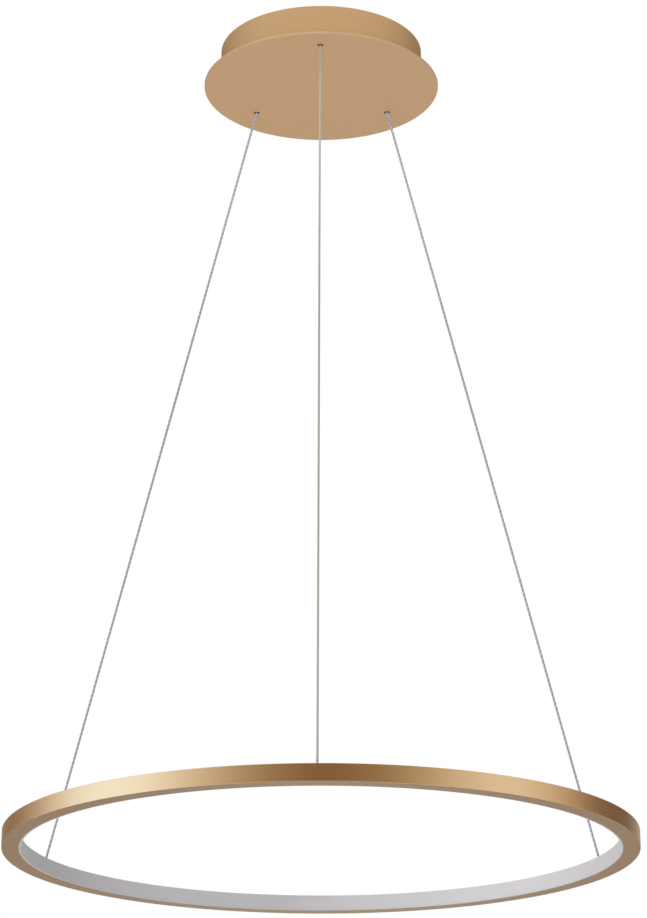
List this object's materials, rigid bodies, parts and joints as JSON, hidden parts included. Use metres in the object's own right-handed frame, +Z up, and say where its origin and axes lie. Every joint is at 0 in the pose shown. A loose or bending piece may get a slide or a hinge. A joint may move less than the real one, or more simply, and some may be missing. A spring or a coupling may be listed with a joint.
{
  "type": "ring pendant light",
  "caption": "Slim round hoop light with a gold outer face and white inner diffuser, hung by straight adjustable cables from a stepped round ceiling canopy.",
  "frame": {"origin": "on the ceiling plane, midway between the bracket's two ceiling screws, on the axis of the canopy and the ring", "axes": "+Z up into the ceiling, +X to the right and +Y away from the front cable"},
  "size_m": [0.6, 0.6, 0.844],
  "materials": {
    "satin_gold": "satin champagne gold lacquer on steel",
    "brushed_gold": "brushed along the ring and gold anodised",
    "opal": "white opal, unlit",
    "zinc_steel": "zinc plated",
    "white_plastic": "moulded white",
    "board_green": "solder mask",
    "dark_plastic": "moulded dark",
    "lead_earth": "green and yellow sleeve",
    "lead_brown": "brown sleeve",
    "lead_red": "red sleeve",
    "led_white": "white film",
    "led_amber": "phosphor",
    "nylon": "natural nylon",
    "nickel": "nickel plated brass",
    "spring_steel": "polished",
    "cream_cable": "cream coated steel rope",
    "clear_cable": "clear jacket over twisted silver strands"
  },
  "bodies": {
    "canopy": {"ceiling_bracket": "zinc_steel", "canopy_drum": "satin_gold", "canopy_plate": "satin_gold", "plate_nuts": "zinc_steel", "canopy_side_screws": "zinc_steel", "driver_case": "white_plastic", "driver_lid": "white_plastic", "driver_screws": "zinc_steel", "driver_board": "board_green", "driver_parts": "dark_plastic", "terminal_block": "white_plastic", "terminal_screws": "zinc_steel", "earth_screw": "zinc_steel", "earth_lead": "lead_earth", "mains_leads": "lead_brown", "splice_connectors": "white_plastic", "output_leads": "lead_red", "front_gripper_seat": "zinc_steel", "left_gripper_seat": "zinc_steel", "right_gripper_seat": "zinc_steel"},
    "front_swivel": {"front_swivel_liner": "nylon"},
    "front_cable": {"front_gripper_barrel": "nickel", "front_gripper_cap": "nickel", "front_gripper_spring": "spring_steel", "front_tail_stop": "nickel", "front_cable_tail": "cream_cable", "front_cable": "cream_cable"},
    "front_plunger": {"front_gripper_plunger": "nickel", "front_gripper_balls": "spring_steel"},
    "left_swivel": {"left_swivel_liner": "nylon"},
    "left_cable": {"left_gripper_barrel": "nickel", "left_gripper_cap": "nickel", "left_gripper_spring": "spring_steel", "left_tail_stop": "nickel", "left_cable_tail": "clear_cable", "left_cable": "clear_cable"},
    "left_plunger": {"left_gripper_plunger": "nickel", "left_gripper_balls": "spring_steel"},
    "right_swivel": {"right_swivel_liner": "nylon"},
    "right_cable": {"right_gripper_barrel": "nickel", "right_gripper_cap": "nickel", "right_gripper_spring": "spring_steel", "right_tail_stop": "nickel", "right_cable_tail": "clear_cable", "right_cable": "clear_cable"},
    "right_plunger": {"right_gripper_plunger": "nickel", "right_gripper_balls": "spring_steel"},
    "front_cable_end": {"front_cable_end": "nickel"},
    "front_socket": {"front_socket_bush": "nylon"},
    "ring": {"ring_profile": "brushed_gold", "diffuser": "opal", "led_strip": "led_white", "led_chips": "led_amber", "feed_wires": "lead_red", "left_cable_end": "nickel", "left_socket_bush": "nylon", "right_cable_end": "nickel", "right_socket_bush": "nylon"}
  },
  "joints": [
    {"name": "sway_front_back", "type": "hinge", "parent": "canopy", "child": "front_swivel", "pos_m": [0, -0.09411, -0.034], "axis": [1, 0, 0], "range_deg": [-4, 4]},
    {"name": "sway_left_right", "type": "hinge", "parent": "front_swivel", "child": "front_cable", "pos_m": [0, -0.09411, -0.034], "axis": [0, 1, 0], "range_deg": [-4, 4]},
    {"name": "height_adjust", "type": "slide", "parent": "front_cable", "child": "front_cable_end", "axis": [0, 0, 1], "range_m": [0, 0.35], "deforming": ["front_cable", "left_cable", "right_cable"]},
    {"name": "ring_tilt_front_back", "type": "hinge", "parent": "front_cable_end", "child": "front_socket", "pos_m": [0, -0.292, -0.83315], "axis": [1, 0, 0], "range_deg": [-1.5, 1.5]},
    {"name": "ring_tilt_left_right", "type": "hinge", "parent": "front_socket", "child": "ring", "pos_m": [0, -0.292, -0.83315], "axis": [0, 1, 0], "range_deg": [-1.2, 1.2]},
    {"name": "left_sway_front_back", "type": "hinge", "parent": "canopy", "child": "left_swivel", "pos_m": [-0.06724, 0.05532, -0.034], "axis": [1, 0, 0], "range_deg": [-4, 4]},
    {"name": "left_sway_left_right", "type": "hinge", "parent": "left_swivel", "child": "left_cable", "pos_m": [-0.06724, 0.05532, -0.034], "axis": [0, 1, 0], "range_deg": [-4, 4]},
    {"name": "right_sway_front_back", "type": "hinge", "parent": "canopy", "child": "right_swivel", "pos_m": [0.06724, 0.05532, -0.034], "axis": [1, 0, 0], "range_deg": [-4, 4]},
    {"name": "right_sway_left_right", "type": "hinge", "parent": "right_swivel", "child": "right_cable", "pos_m": [0.06724, 0.05532, -0.034], "axis": [0, 1, 0], "range_deg": [-4, 4]},
    {"name": "front_release", "type": "slide", "parent": "front_cable", "child": "front_plunger", "axis": [0, 0.2404, 0.9707], "range_m": [0, 0.002], "stiffness_N_per_m": 1500, "springref_m": -0.001, "deforming": ["front_gripper_spring"]},
    {"name": "left_release", "type": "slide", "parent": "left_cable", "child": "left_plunger", "axis": [0.2485, -0.0597, 0.9668], "range_m": [0, 0.002], "stiffness_N_per_m": 1500, "springref_m": -0.001, "deforming": ["left_gripper_spring"]},
    {"name": "right_release", "type": "slide", "parent": "right_cable", "child": "right_plunger", "axis": [-0.2485, -0.0597, 0.9668], "range_m": [0, 0.002], "stiffness_N_per_m": 1500, "springref_m": -0.001, "deforming": ["right_gripper_spring"]}
  ],
  "couplings": [
    {"joint": "ring_tilt_front_back", "follows": "sway_front_back", "ratio": -0.32231},
    {"joint": "ring_tilt_left_right", "follows": "sway_left_right", "ratio": -0.24664},
    {"joint": "left_sway_front_back", "follows": "sway_front_back", "ratio": 1},
    {"joint": "left_sway_left_right", "follows": "sway_left_right", "ratio": 1},
    {"joint": "right_sway_front_back", "follows": "sway_front_back", "ratio": 1},
    {"joint": "right_sway_left_right", "follows": "sway_left_right", "ratio": 1}
  ]
}
